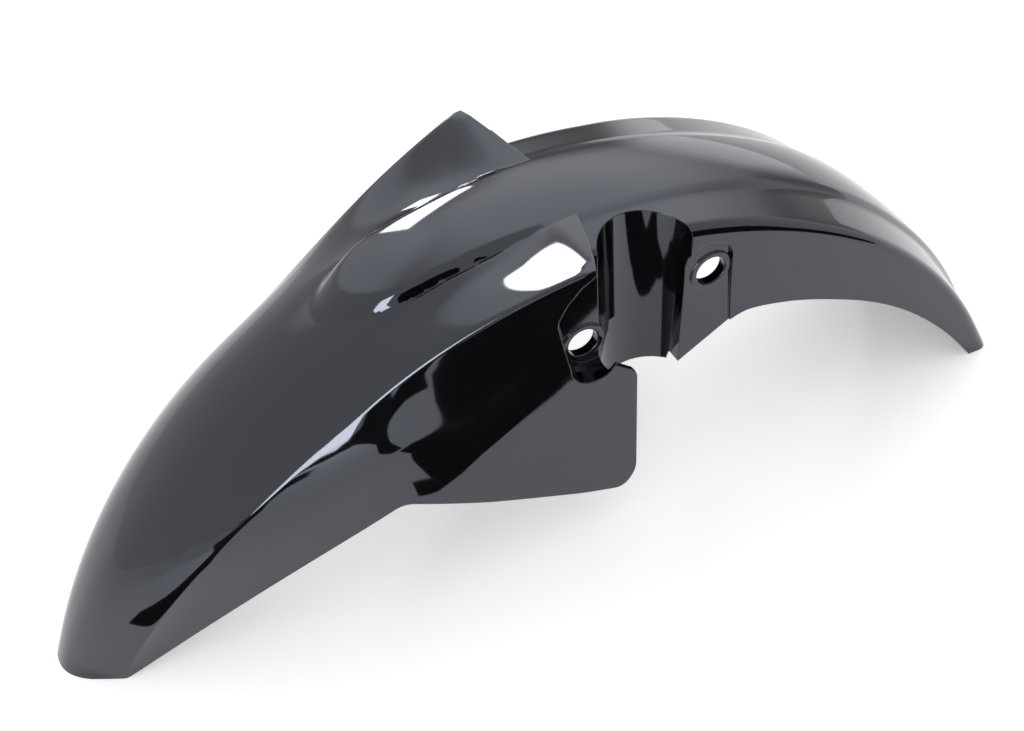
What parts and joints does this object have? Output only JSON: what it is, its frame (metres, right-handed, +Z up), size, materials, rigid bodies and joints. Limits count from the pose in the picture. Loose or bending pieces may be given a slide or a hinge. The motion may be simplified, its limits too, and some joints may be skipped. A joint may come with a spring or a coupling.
{
  "type": "motorcycle front mudguard",
  "caption": "Front mudguard of a light motorcycle: a glossy moulded arch over the wheel with a raised centre panel, flared side wings, ear plates, fork channels and bolt holes.",
  "frame": {"origin": "middle of the length and width, on the ground the mudguard stands on", "axes": "+X to the nose, +Y to the rider's left, +Z up"},
  "size_m": [0.6534, 0.16, 0.2251],
  "materials": {
    "gloss_black": "deep gloss black paint on a moulded plastic shell"
  },
  "bodies": {
    "root": {"mudguard": "gloss_black"}
  },
  "joints": []
}
